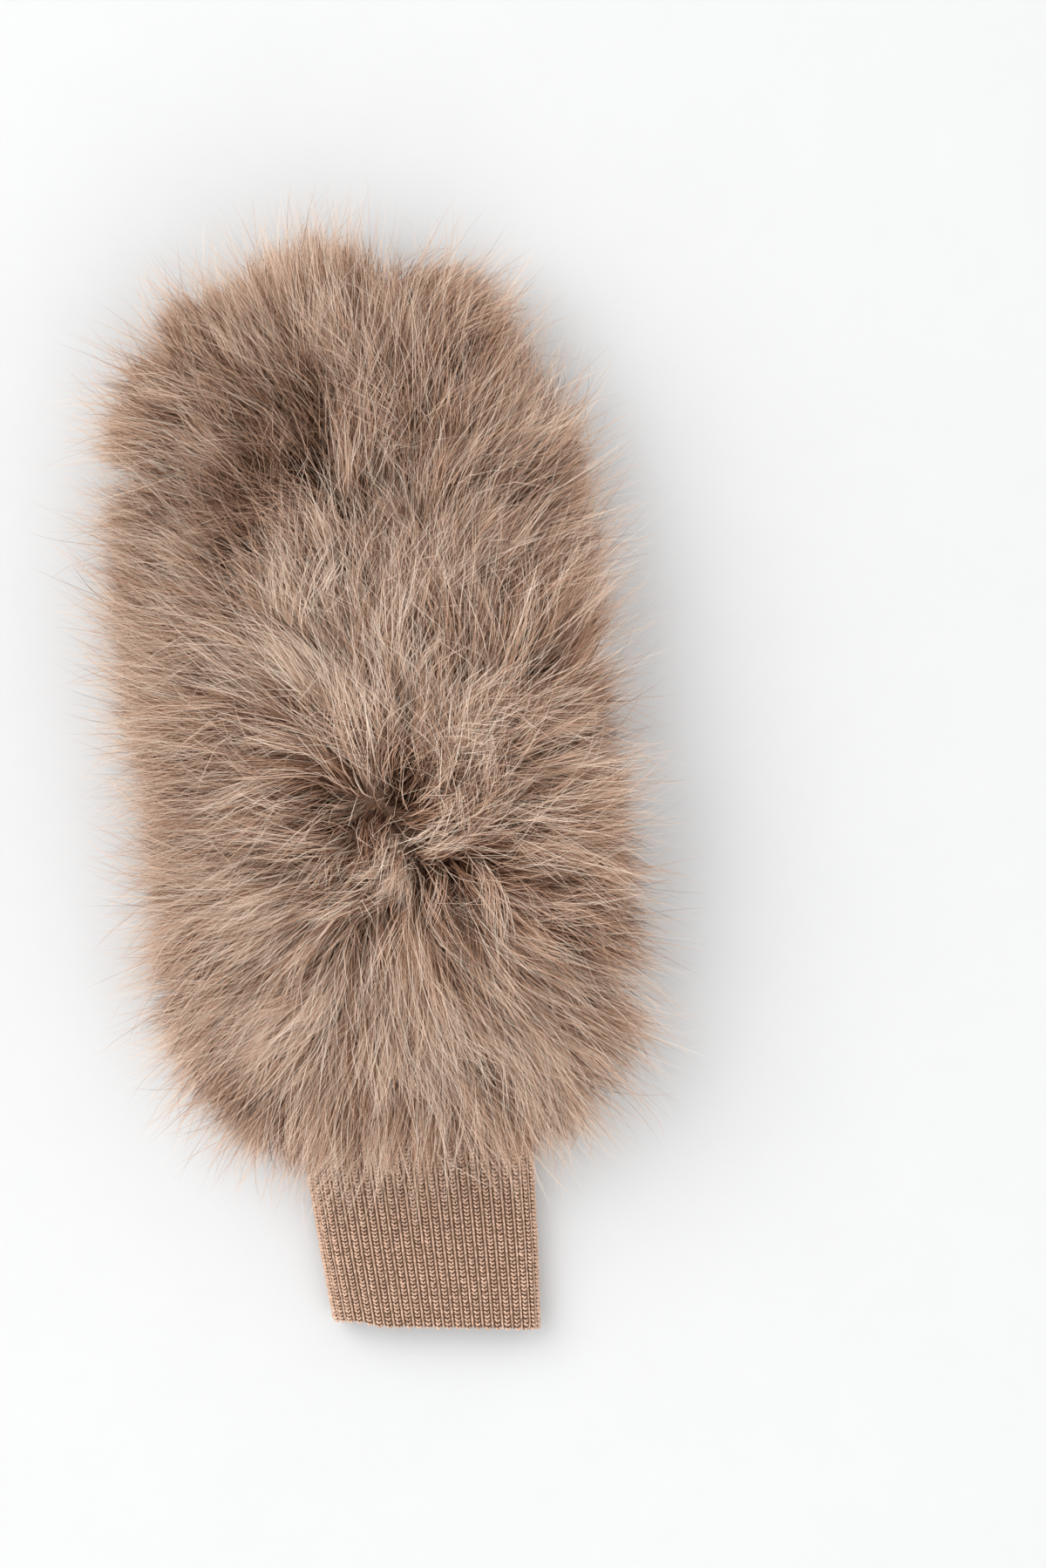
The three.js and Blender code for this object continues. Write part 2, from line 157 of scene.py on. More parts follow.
def addRamp(nodes, links, source, stops):
    ramp = nodes.new("ShaderNodeValToRGB")
    elements = ramp.color_ramp.elements
    while len(elements) < len(stops):
        elements.new(0.5)
    for element, (place, colour) in zip(elements, stops):
        element.position = place
        element.color = colour
    links.new(source, ramp.inputs["Fac"])
    return ramp.outputs["Color"]


def multiplyColours(nodes, links, first, second):
    node = nodes.new("ShaderNodeMix")
    node.data_type = "RGBA"
    node.blend_type = "MULTIPLY"
    node.inputs["Factor"].default_value = 1
    links.new(first, node.inputs["A"])
    links.new(second, node.inputs["B"])
    return node.outputs["Result"]


def addBump(nodes, links, shader, height, strength, distance):
    bump = nodes.new("ShaderNodeBump")
    bump.inputs["Strength"].default_value = strength
    bump.inputs["Distance"].default_value = distance
    links.new(height, bump.inputs["Height"])
    links.new(bump.outputs["Normal"], shader.inputs["Normal"])


# soft mottling and nap, used by suede, hide and knit
def makeNapGroup():
    group = bpy.data.node_groups.new("nap", "ShaderNodeTree")
    sockets = group.interface
    sockets.new_socket("Patch Scale", in_out="INPUT", socket_type="NodeSocketFloat")
    sockets.new_socket("Grain Scale", in_out="INPUT", socket_type="NodeSocketFloat")
    sockets.new_socket("Tone", in_out="OUTPUT", socket_type="NodeSocketFloat")
    sockets.new_socket("Height", in_out="OUTPUT", socket_type="NodeSocketFloat")
    nodes, links = group.nodes, group.links
    given = nodes.new("NodeGroupInput")
    result = nodes.new("NodeGroupOutput")
    place = nodes.new("ShaderNodeTexCoord")
    patches = nodes.new("ShaderNodeTexNoise")
    patches.inputs["Detail"].default_value = 5
    patches.inputs["Roughness"].default_value = 0.6
    grain = nodes.new("ShaderNodeTexNoise")
    grain.inputs["Detail"].default_value = 4
    grain.inputs["Roughness"].default_value = 0.75
    for noise, scale in ((patches, "Patch Scale"), (grain, "Grain Scale")):
        links.new(place.outputs["Object"], noise.inputs["Vector"])
        links.new(given.outputs[scale], noise.inputs["Scale"])
    blend = nodes.new("ShaderNodeMath")
    blend.operation = "MULTIPLY_ADD"
    blend.inputs[1].default_value = 0.45
    links.new(grain.outputs["Fac"], blend.inputs[0])
    share = nodes.new("ShaderNodeMath")
    share.operation = "MULTIPLY"
    share.inputs[1].default_value = 0.55
    links.new(patches.outputs["Fac"], share.inputs[0])
    links.new(share.outputs["Value"], blend.inputs[2])
    links.new(blend.outputs["Value"], result.inputs["Tone"])
    links.new(grain.outputs["Fac"], result.inputs["Height"])
    return group


napGroup = makeNapGroup()


def addNap(nodes, patchScale, grainScale):
    node = nodes.new("ShaderNodeGroup")
    node.node_tree = napGroup
    node.inputs["Patch Scale"].default_value = patchScale
    node.inputs["Grain Scale"].default_value = grainScale
    return node


# fur: the UV map holds each strand's tone across and its length, root to tip, upwards
def makeFurMaterial():
    material, nodes, links, shader = newMaterial("long_fur", 0.52)
    shader.inputs["Specular IOR Level"].default_value = 0.28
    place = nodes.new("ShaderNodeUVMap")
    place.uv_map = "OFBake"
    split = nodes.new("ShaderNodeSeparateXYZ")
    links.new(place.outputs["UV"], split.inputs["Vector"])
    tones = addRamp(nodes, links, split.outputs["X"], [
        (0.0, linear(66, 43, 31)),
        (0.3, linear(154, 115, 92)),
        (0.6, linear(222, 181, 153)),
        (1.0, linear(255, 235, 216)),
    ])
    # darker towards the root: partly the hair's own colour, partly painted shade deep in the pile; paler
    # tips
    lengths = addRamp(nodes, links, split.outputs["Y"], [
        (0.0, (0.52, 0.44, 0.39, 1)),
        (0.35, (0.8, 0.75, 0.71, 1)),
        (0.75, (0.98, 0.97, 0.96, 1)),
        (1.0, (1.04, 1.06, 1.08, 1)),
    ])
    links.new(multiplyColours(nodes, links, tones, lengths), shader.inputs["Base Color"])
    return material


def makeHideMaterial():
    material, nodes, links, shader = newMaterial("fur_hide", 0.95)
    nap = addNap(nodes, 60, 900)
    colour = addRamp(nodes, links, nap.outputs["Tone"], [
        (0.35, linear(104, 78, 62)),
        (0.65, linear(156, 126, 106)),
    ])
    links.new(colour, shader.inputs["Base Color"])
    addBump(nodes, links, shader, nap.outputs["Height"], 0.8, 0.6 * mm)
    return material


def makeSuedeMaterial():
    material, nodes, links, shader = newMaterial("suede", 0.9)
    shader.inputs["Sheen Weight"].default_value = 0.25
    shader.inputs["Sheen Roughness"].default_value = 0.6
    nap = addNap(nodes, 45, 1400)
    colour = addRamp(nodes, links, nap.outputs["Tone"], [
        (0.3, linear(126, 94, 73)),
        (0.5, linear(178, 145, 123)),
        (0.72, linear(214, 184, 162)),
    ])
    links.new(colour, shader.inputs["Base Color"])
    addBump(nodes, links, shader, nap.outputs["Height"], 0.5, 0.35 * mm)
    return material


# knit: yarn colour with a fine nap, times painted shade read from the piece's own attribute
def makeKnitMaterial(name, stops, shades):
    material, nodes, links, shader = newMaterial(name, 0.85)
    shader.inputs["Sheen Weight"].default_value = 0.1
    shader.inputs["Sheen Roughness"].default_value = 0.5
    nap = addNap(nodes, 900, 4200)
    colour = addRamp(nodes, links, nap.outputs["Tone"], stops)
    strand = nodes.new("ShaderNodeAttribute")
    strand.attribute_name = "strand"
    shade = addRamp(nodes, links, strand.outputs["Fac"], shades)
    links.new(multiplyColours(nodes, links, colour, shade), shader.inputs["Base Color"])
    addBump(nodes, links, shader, nap.outputs["Height"], 0.6, 0.15 * mm)
    return material


print("materials")
furMaterial = makeFurMaterial()
hideMaterial = makeHideMaterial()
suedeMaterial = makeSuedeMaterial()
groundMaterial = makeKnitMaterial(
    "knit_ground",
    [(0.3, linear(186, 150, 125)), (0.7, linear(226, 194, 170))],
    # painted shade: the ground darkens in the channels between the strands
    [(0.1, (0.2, 0.155, 0.125, 1)), (0.9, (0.88, 0.86, 0.83, 1))],
)
stitchMaterial = makeKnitMaterial(
    "knit_stitch",
    [(0.3, linear(186, 149, 126)), (0.5, linear(222, 187, 163)), (0.7, linear(244, 216, 196))],
    # painted light and shade on the legs: low tones darker, high tones up to a quarter brighter
    [(0, (0.5, 0.46, 0.43, 1)), (0.5, (0.96, 0.94, 0.92, 1)), (1, (1.26, 1.25, 1.24, 1))],
)


# palm: the side seams are read from the frame, in rows along the mitten

def seamRows():
    points = meshPoints(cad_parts["palm_panel"])
    levels = np.round(points[:, 1] / (0.02 * mm)).astype(int)
    rows = []
    for level in np.unique(levels):
        row = points[levels == level]
        if len(np.unique(np.round(row[:, 0], 4))) < 8:  # a corner left by the thumb's mouth
            continue
        left = row[row[:, 0] < row[:, 0].min() + 0.1 * mm]
        right = row[row[:, 0] > row[:, 0].max() - 0.1 * mm]
        edges = (left[:, 0].mean(), right[:, 0].mean(), left[:, 2].max(), right[:, 2].max())
        rows.append((row[:, 1].mean(), *edges))
    return np.array(rows)


# cuts the corners of the rows twice, so that the seams curve
def rounded(rows):
    for _ in range(2):
        cuts = np.stack([mix(rows[:-1], rows[1:], 0.25), mix(rows[:-1], rows[1:], 0.75)], axis=1)
        rows = np.concatenate([rows[:1], cuts.reshape(-1, rows.shape[1]), rows[-1:]])
    return rows


seams = rounded(seamRows())
palmLength = palmHigh.y - palmLow.y
palmMiddle = (seams[:, 1].min() + seams[:, 2].max()) / 2
palmWidth = seams[:, 2].max() - seams[:, 1].min()


def seamAt(y):
    return [np.interp(y, seams[:, 0], seams[:, column]) for column in (1, 2, 3, 4)]


palm = {
    "columns": 64,
    "rows": 130,
    "rest": 0.5 * mm,  # the suede lies this far above the table
    "thickness": 1.6 * mm,
    "edgeTurn": 4 * mm,  # how far the edge turns up to its seam
    "turnStart": 0.78,
    "tipTurnStart": 0.93,
    "seamStart": 0.93,  # the seam itself, as shares across and along
    "tipSeamStart": 0.975,
    "lip": 0.9 * mm,  # soft roll along the seam
    "puckers": 31,  # gathers round the edge
    "puckerDepth": 0.5 * mm,
    "dentPlace": (0.3, 0.87),  # shares of the palm's width from its middle and of its length
    "dentRadius": 19 * mm,
    "dentDepth": 2.4 * mm,
    "crotchRadius": 9 * mm,
    "crotchDepth": 1.6 * mm,
    "overThumb": 12.2 * mm,  # how far it climbs over the thumb
    "slope": 14 * mm,
    "cut": (0.098, 0.224),  # flat, with its turned edge, in metres
    "cutArea": 0.0189,
}

# thumb outline: share of the reach, its low and high edge as shares of the mouth's length, its height
thumbRows = np.array([
    (0.0, 0.0, 1.0, 1.0),
    (0.165, 0.13, 1.114, 1.0),
    (0.34, 0.3, 1.23, 1.0),
    (0.516, 0.514, 1.357, 1.0),
    (0.67, 0.743, 1.464, 0.96),
    (0.802, 1.0, 1.557, 0.88),
    (0.9, 1.257, 1.621, 0.76),
    (0.967, 1.44, 1.65, 0.62),
    (1.0, 1.53, 1.62, 0.5),
])

thumb = {
    "around": 72,
    "along": 70,
    "mouth": 70 * mm,
    "reach": 45.5 * mm,
    "swell": 0.62,
    "tipStart": 0.93,  # from here the tip rounds off to its seam
    "tipSize": (0.55, 0.1),  # what the tip keeps of its width and height
    "lift": 0.3 * mm,
    "thickness": 1.5 * mm,
    "seamLip": 0.5 * mm,
    "lipWidth": 0.004,
    "creases": 5,
    "creaseDepth": 0.35 * mm,
    "cut": (0.047, 0.15),
    "cutArea": 0.0058,
}
thumbStartX = thumbHigh.x - thumb["reach"]
mouthStartY = thumbHigh.y - thumb["mouth"] * thumbRows[:, 2].max()


def thumbEdge(share, column):
    return mouthStartY + thumb["mouth"] * np.interp(share, thumbRows[:, 0], thumbRows[:, column])


def thumbCover(x, y):
    share = np.clip((x - thumbStartX) / thumb["reach"], 0, 1)
    slope = palm["slope"]
    low, high = thumbEdge(share, 1), thumbEdge(share, 2)
    climb = smoothStep(x, thumbStartX, thumbStartX + slope)
    return climb * smoothStep(y, low - slope, low) * (1 - smoothStep(y, high, high + slope))


def softSpot(x, y, place, radius):
    return np.exp(-((x - place[0]) ** 2 + (y - place[1]) ** 2) / radius ** 2)


def palmPlace(across, along):
    y = palmLow.y + palmLength * along
    left, right, _, _ = seamAt(y)
    x = mix(left, right, across)
    side = np.abs(2 * across - 1)
    edge = smoothStep(side, palm["turnStart"], 1) + smoothStep(along, palm["tipTurnStart"], 1)
    edge = np.minimum(1, edge)
    seam = smoothStep(side, palm["seamStart"], 1) + smoothStep(along, palm["tipSeamStart"], 1)
    seam = np.minimum(1, seam)
    dentX, dentY = palm["dentPlace"]
    dentAt = (palmMiddle + dentX * palmWidth, palmLow.y + dentY * palmLength)
    crotchAt = (thumbStartX - 0.04 * palmWidth, thumbEdge(0, 2) + 0.03 * palmLength)
    turn = np.arctan2(y - palmLow.y - 0.6 * palmLength, x - palmMiddle)
    gathers = np.sin(turn * palm["puckers"] + 1.3 * np.sin(3 * turn))
    gathers = gathers * (0.6 + 0.4 * np.sin(5 * turn + 1))  # uneven round the edge
    z = palm["rest"] + palm["overThumb"] * thumbCover(x, y) + palm["edgeTurn"] * edge
    z += palm["dentDepth"] * softSpot(x, y, dentAt, palm["dentRadius"])
    z += palm["crotchDepth"] * softSpot(x, y, crotchAt, palm["crotchRadius"])
    z += palm["puckerDepth"] * gathers * smoothStep(edge, 0.25, 0.9) * (1 - 0.5 * seam)
    z -= palm["lip"] * np.sin(np.pi * np.clip(seam, 0, 1)) * 0.8
    return np.stack([x, y, z], axis=1)


print("palm")
palmPiece = gridPiece("suede_palm", palm["columns"], palm["rows"], palmPlace)
applyModifier(palmPiece, "SOLIDIFY", thickness=palm["thickness"], offset=1)
finishPiece(palmPiece, suedeMaterial, "suede", "palm_panel")


def thumbPlace(around, along):
    angle = 2 * np.pi * around
    x = thumbStartX + thumb["reach"] * along
    low, high = thumbEdge(along, 1), thumbEdge(along, 2)
    height = (thumbHigh.z - thumbLow.z) * np.interp(along, thumbRows[:, 0], thumbRows[:, 3])
    close = np.sqrt(np.clip(1 - smoothStep(along, thumb["tipStart"], 1) ** 2, 0, 1))
    tipWidth, tipHeight = thumb["tipSize"]
    swell = np.clip(thumb["swell"] * np.sin(angle), -0.5, 0.5)
    crease = thumb["creaseDepth"] * np.sin(along * thumb["creases"] * 2 * np.pi + 2 * np.cos(angle))
    crease *= smoothStep(along, 0.15, 0.5) * np.abs(np.cos(angle)) ** 2
    y = (low + high) / 2 + (high - low) / 2 * np.cos(angle) * mix(tipWidth, 1, close)
    z = thumbLow.z + height / 2 + (swell * height * mix(tipHeight, 1, close))
    lip = thumb["seamLip"] * np.exp(-((np.abs(np.cos(angle)) - 1) / thumb["lipWidth"]) ** 2)
    z = np.maximum(z + crease * np.sign(swell), thumbLow.z + thumb["lift"])
    y = y + lip * np.sign(np.cos(angle))
    return np.stack([x, y, z], axis=1)


print("thumb")
thumbPiece = gridPiece("suede_thumb", thumb["around"], thumb["along"], thumbPlace)
closeUp(thumbPiece)
applyModifier(thumbPiece, "SOLIDIFY", thickness=thumb["thickness"], offset=-1)
finishPiece(thumbPiece, suedeMaterial, "suede", "thumb")


# cuff: a flattened tube of rib knit, strands between columns of stitches

cuff = {
    "ribs": 48,
    "columnsPerRib": 6,
    "rows": 40,
    "rowCrowding": 1.25,  # rows lie closer together at the hem
    "wall": 2.4 * mm,
    "hemWidth": 59.2 * mm,
    "hemSkew": 3.6 * mm,  # how far the hem hangs lower at the thumb side than in the middle
    "hemLift": 1.3 * mm,  # a small wave at the other side
    "strandHeight": 0.35 * mm,
    "strandWidth": (0.02, 0.16),  # half of its top and of its foot, of the rib pitch
    "channelDepth": 1.05 * mm,
    "hemRoll": 1.6 * mm,
    "scallop": 0.25 * mm,
    "scallopReach": 6 * mm,
    "setBack": 0.2 * mm,  # the ground ends this far inside the stitches
    "stitchPitch": 1.05 * mm,
    # legs of a stitch: place in the rib, degrees, length, width, height and rise in mm, tone, where the
    # first leg's higher tone is painted light
    "legs": np.array([
        (-0.1, -40, 1.42, 0.58, 0.85, 0.4, 0.9),
        (0.16, 40, 1.05, 0.54, 0.6, 0.28, 0.6),
        (0.5, 5, 1.4, 0.54, 0.6, 0.32, 0.6),
    ]),
    # how unevenly the stitches sit, slant, size and take the dye
    "uneven": {"row": 0.05, "place": 0.01, "slant": 0.06, "size": 0.09, "tone": 0.17},
    "seed": 5,
    "cut": (0.151, 0.0745),
    "cutArea": 0.01,
}
cuffLength = cuffHigh.y - cuffLow.y - cuff["hemSkew"]
cuffThick = cuffHigh.z - cuffLow.z
wristWidth = cuffHigh.x - cuffLow.x


# a point of the tube's outside at a share round it, its outward direction, and the direction round
def cuffRing(share, along, inset):
    width = mix(cuff["hemWidth"], wristWidth, np.interp(along, [0, 0.33, 0.67, 1], [0, 0.4, 0.72, 1]))
    radius = cuffThick / 2
    flat = width - 2 * radius
    arc = math.pi * radius
    walk = (share % 1) * 2 * (flat + arc)
    top = walk < flat + arc
    rest = np.where(top, walk, walk - flat - arc)
    turn = np.clip((rest - flat) / radius, 0, math.pi)
    side = np.where(top, 1.0, -1.0)
    outX = np.sin(turn)
    outZ = np.cos(turn)
    middle = np.where(rest < flat, rest - flat / 2, flat / 2)
    x = side * (middle + (radius - inset) * outX)
    z = side * (radius - inset) * outZ
    y = cuffHigh.y - cuffLength * (1 - along) - cuff["hemSkew"] * (1 - along) * 2 * x / width
    y += cuff["hemLift"] * (1 - along) ** 3 * smoothStep(-2 * x / width, 0.5, 0.75)
    point = np.stack([cuffMiddle + x, y, cuffLow.z + radius + z], axis=1)
    out = np.stack([side * outX, np.zeros_like(outX), side * outZ], axis=1)
    around = np.stack([side * outZ, np.zeros_like(outX), -side * outX], axis=1)
    return point, out, around


# the hem rolls in, one scallop to a rib
def hemShape(rib, along):
    reach = along * cuffLength
    curl = np.clip(1 - reach / cuff["hemRoll"], 0, 1)
    inset = cuff["hemRoll"] * (1 - np.sqrt(1 - curl ** 2)) * 0.8
    scallop = cuff["scallop"] * np.cos(2 * np.pi * rib) * smoothStep(reach, cuff["scallopReach"], 0)
    return inset, scallop


def strandNearness(rib):
    return 1 - smoothStep(np.abs(rib - np.round(rib)), *cuff["strandWidth"])


def cuffPlace(share, row):
    along = row ** cuff["rowCrowding"]
    rib = share * cuff["ribs"]
    inset, scallop = hemShape(rib, along)
    point, out, _ = cuffRing(share, along, cuff["channelDepth"])
    point += out * (cuff["strandHeight"] * strandNearness(rib) - inset)[:, None]
    point[:, 1] += scallop + cuff["setBack"]
    return point


# what the knit's material paints its shade by: on the ground, darker in the channels between strands; on
# the stitches, each leg's tone
def setStrand(piece, values):
    strand = piece.data.attributes.new("strand", "FLOAT", "POINT")
    strand.data.foreach_set("value", values.astype(np.float32))


print("cuff")
cuffColumns = cuff["ribs"] * cuff["columnsPerRib"]
cuffPiece = gridPiece("knit_cuff", cuffColumns, cuff["rows"], cuffPlace)
setStrand(cuffPiece, strandNearness(gridShares(cuffColumns, cuff["rows"])[:, 0] * cuff["ribs"]))
closeUp(cuffPiece)
applyModifier(cuffPiece, "SOLIDIFY", thickness=cuff["wall"], offset=-1)
finishPiece(cuffPiece, groundMaterial, "rib_knit", "cuff")


# a mesh from corner points and triangles, with one UV for each point
def arrayPiece(name, points, corners, uvs=None):
    mesh = bpy.data.meshes.new(name)
    mesh.vertices.add(len(points))
    mesh.vertices.foreach_set("co", points.astype(np.float32).ravel())
    mesh.loops.add(corners.size)
    mesh.loops.foreach_set("vertex_index", corners.astype(np.int32).ravel())
    mesh.polygons.add(len(corners))
    mesh.polygons.foreach_set("loop_start", np.arange(0, corners.size, 3, dtype=np.int32))
    mesh.polygons.foreach_set("loop_total", np.full(len(corners), 3, np.int32))
    if uvs is not None:
        layer = mesh.uv_layers.new(name="OFBake")
        layer.data.foreach_set("uv", uvs[corners.ravel()].astype(np.float32).ravel())
    mesh.update()
    mesh.validate()
    piece = bpy.data.objects.new(name, mesh)
    bpy.context.scene.collection.objects.link(piece)
    return piece


# one leg of a stitch: a spindle with two square rings, length along Y, 1 long, 1 wide, 1 high
spindleRings = [(-0.22, 1.0), (0.22, 1.0)]


def spindle():
    points = [(0, -0.5, 0)]
    for along, size in spindleRings:
        for x, z in ((-0.5, 0), (0, 0.5), (0.5, 0), (0, -0.5)):
            points.append((x * size, along, z * size))
    points.append((0, 0.5, 0))
    corners = []
    for i in range(4):
        j = (i + 1) % 4
        corners += [(0, 1 + i, 1 + j), (1 + i, 5 + i, 5 + j), (1 + i, 5 + j, 1 + j), (5 + i, 9, 5 + j)]
    return np.array(points, float), np.array(corners)


def stitchPiece():
    rng = np.random.default_rng(cuff["seed"])
    uneven = cuff["uneven"]
    rows = int(cuffLength / cuff["stitchPitch"])
    rib, row, leg = np.meshgrid(np.arange(cuff["ribs"]), np.arange(rows), (0, 1, 2), indexing="ij")
    offset, turn, length, width, height, rise, tone = cuff["legs"][leg.ravel()].T
    count = len(offset)
    along = (row.ravel() + 0.5 + uneven["row"] * rng.standard_normal(count)) / rows
    place = rib.ravel() + 0.5 + offset + uneven["place"] * rng.standard_normal(count)
    inset, scallop = hemShape(place, along)
    depth = cuff["channelDepth"] + inset - rise * mm
    point, out, around = cuffRing(place / cuff["ribs"], along, depth)
    point[:, 1] += scallop
    slant = np.radians(turn) + uneven["slant"] * rng.standard_normal(count)
    lengthways = np.zeros_like(point)
    lengthways[:, 1] = 1
    direction = lengthways * np.cos(slant)[:, None] + around * np.sin(slant)[:, None]
    across = np.cross(direction, out)
    size = mm * (1 + uneven["size"] * rng.standard_normal(count))
    shape, corners = spindle()
    points = (
        point[:, None]
        + across[:, None] * shape[None, :, 0, None] * (width * size)[:, None, None]
        + direction[:, None] * shape[None, :, 1, None] * (length * size)[:, None, None]
        + out[:, None] * shape[None, :, 2, None] * (height * size)[:, None, None]
    )
    faces = corners[None] + (np.arange(count) * len(shape))[:, None, None]
    piece = arrayPiece("knit_stitches", points.reshape(-1, 3), faces.reshape(-1, 3))
    # painted light by leg, with a random change of dye
    tones = np.repeat(tone + uneven["tone"] * rng.standard_normal(count), len(shape))
    setStrand(piece, tones)
    return piece


stitches = stitchPiece()
closeUp(stitches, weld=False)
finishPiece(stitches, stitchMaterial, "rib_knit")


# hide: the skin that carries the fur, over the hand

hide = {
    "columns": 40,
    "rows": 84,
    "thickness": 2.2 * mm,
    "height": 18 * mm,  # hand space under the crown
    "roundAcross": 2.4,
    "roundUp": 0.6,
    # how much of the height it has at these shares of the palm's length
    "along": (0, 0.087, 0.223, 0.405, 0.588, 0.747, 0.834, 0.907, 0.952, 0.984, 1),
    "swell": (0.4, 0.58, 0.88, 1, 1, 0.96, 0.86, 0.68, 0.5, 0.3, 0.02),
    "cut": (0.105, 0.224),
    "cutArea": 0.0203,
}


def skinPoint(across, along):
    y = palmLow.y + palmLength * along
    left, right, leftZ, rightZ = seamAt(y)
    rounding = np.clip(1 - np.abs(2 * across - 1) ** hide["roundAcross"], 0, 1) ** hide["roundUp"]
    rise = hide["height"] * np.interp(along, hide["along"], hide["swell"]) * rounding
    z = mix(leftZ, rightZ, across) + rise
    return np.stack([mix(left, right, across), y, z + hide["thickness"]], axis=1)


def skinNormal(across, along):
    step = 0.012
    right, left = np.minimum(1, across + step), np.maximum(0, across - step)
    upper, lower = np.minimum(1, along + step), np.maximum(0, along - step)
    sideways = skinPoint(right, along) - skinPoint(left, along)
    lengthways = skinPoint(across, upper) - skinPoint(across, lower)
    return unit(np.cross(sideways, lengthways))


print("hide")
hidePiece = gridPiece("fur_hide", hide["columns"], hide["rows"], skinPoint)
applyModifier(hidePiece, "SOLIDIFY", thickness=hide["thickness"], offset=-1)
finishPiece(hidePiece, hideMaterial, "fur", "back_fur_panel")


# fur: where it is combed, how far it reaches, and the painted light and shade in its tone

furSize = np.array(furHigh - furLow)[:2]
furCorner = np.array(furLow)[:2]

# combing: a place as shares of the fur's box, from its middle and its lower end, and degrees
combing = np.array([
    (0.25, 0.95, 84), (-0.36, 0.94, 119), (-0.09, 0.85, 94), (-0.76, 0.85, 149), (-0.84, 0.72, 174),
    (-0.80, 0.57, 174), (-0.84, 0.45, 180), (-0.82, 0.27, 192), (-0.71, 0.15, 219), (-0.51, 0.09, 239),
    (-0.07, 0.06, 264), (0.40, 0.09, 292), (0.73, 0.17, 327), (0.78, 0.31, 354), (0.57, 0.40, 6),
    (0.84, 0.48, 29), (0.85, 0.66, 39), (0.71, 0.80, 54), (0.51, 0.92, 69), (-0.07, 0.65, 119),
    (-0.34, 0.57, 134), (0.01, 0.53, 106), (-0.38, 0.45, 154), (0.27, 0.59, 56), (0.30, 0.48, 44),
    (0.10, 0.42, 84), (-0.10, 0.365, 194), (0.26, 0.35, 324), (0.05, 0.30, 262), (-0.37, 0.23, 219),
    (0.38, 0.21, 299), (-0.42, 0.68, 144), (0.08, 0.72, 74), (-0.19, 0.75, 134), (0.49, 0.67, 54),
])

# outline of the fur: share along its box, then its left and right edge as shares of half the box
furOutline = np.array([
    (0.015, 0.0, 0.0), (0.022, 0.393, 0.372), (0.062, 0.64, 0.693), (0.098, 0.733, 0.841),
    (0.142, 0.794, 0.891), (0.204, 0.85, 0.878), (0.302, 0.838, 0.886), (0.43, 0.825, 0.861),
    (0.572, 0.856, 0.86), (0.717, 0.887, 0.835), (0.78, 0.844, 0.798), (0.845, 0.763, 0.73),
    (0.874, 0.70, 0.681), (0.914, 0.566, 0.57), (0.947, 0.393, 0.397), (0.962, 0.233, 0.249),
    (0.972, 0.084, 0.113), (0.974, 0.0, 0.0),
])

# soft lighter and darker places, mostly painted light and shade (a lit left rim, painted shade on the
# right rim, at the upper right and in the partings, painted highlights in the middle): shares as above,
# radius in mm, change of tone, change of length
lightAndShadeSpots = [
    (-0.39, 0.688, 13, -0.4, -0.36), (-0.52, 0.735, 11, -0.24, -0.2),
    (-0.24, 0.765, 12, -0.38, -0.26), (0.55, 0.72, 22, -0.1, 0),
    (-0.08, 0.82, 10, -0.22, -0.16), (0.6, 0.3, 9, -0.16, -0.1), (0.3, 0.6, 8, -0.06, -0.06),
    (0.16, 0.45, 7, -0.14, -0.1), (-0.62, 0.45, 9, -0.08, -0.06),
    (-0.14, 0.58, 17, 0.14, 0.12), (-0.32, 0.46, 13, 0.16, 0.08), (0.1, 0.35, 15, 0.3, 0.06),
    (-0.9, 0.5, 14, 0.12, 0), (-0.85, 0.8, 14, 0.1, 0), (0.9, 0.45, 14, -0.08, 0),
    (-0.3, 0.17, 20, 0.12, 0), (0.1, 0.12, 20, 0.1, 0), (-0.7, 0.3, 14, 0.1, 0.05),
]

fur = {
    "seed": 11,
    "stations": (0, 0.3, 0.58, 0.82, 1),
    "combBlend": 20 * mm,
    "rootArea": 1.25,  # how much larger the hide is than the palm's length times its width
    "hairTurn": math.radians(12),
    "hairLean": math.radians(7),
    "hairBend": 0.4,  # of a wisp's
    "hairLengths": (0.2, 1.6),
    "bend": math.radians(30),  # how far a wisp turns aside on its way, to either side
    "lockGather": 0.3,
    "wispGather": 0.62,
    "rootWidth": 0.75,
    "rootLean": math.radians(32),  # from the skin's normal at the root, where the combing is firm
    "tipLean": math.radians(58),  # and at the tip
    "looseLean": 0.95,  # share of the lean that is left where the combing turns round
    "looseTurn": 2.6,  # and how much more whole locks turn there
    "looseCross": 1.6,  # and how much more they cross over it
    "droop": 0.3,
    "topLength": 35 * mm,
    "sideLength": 33 * mm,
    "rimStretch": 0.42,
    "farthest": 21 * mm,  # past the outline, for the longest stray
    "endShare": 0.1,  # of the palm's length, where the hair turns over the wrist and the fingertips
    "endTurn": 1.3,
    "crownSoftness": 6 * mm,
    "crown": 50 * mm,  # hair above this level lies down
    "clearance": 0.4 * mm,
    "liftSoftness": 2.5 * mm,
    "rimShadeReach": 8 * mm,
}

# how far apart locks and wisps stand, and how much they differ
guideSpread = {
    "lock": {
        "spacing": 13 * mm, "turn": math.radians(21), "length": 0.1,
        "lean": math.radians(9), "tone": 0.06, "margin": 1.7 * mm,
    },
    "wisp": {
        "spacing": 3.3 * mm, "turn": math.radians(15), "length": 0.08,
        "lean": math.radians(8), "tone": 0.19, "margin": 1.7 * mm,
    },
}

furMiddle = furCorner + furSize / 2


def furPlace(across, along):
    return np.array([furMiddle[0] + across * furSize[0] / 2, furCorner[1] + along * furSize[1]])


combPoints = np.array([furPlace(across, along) for across, along, _ in combing])
combTurns = np.radians(combing[:, 2])


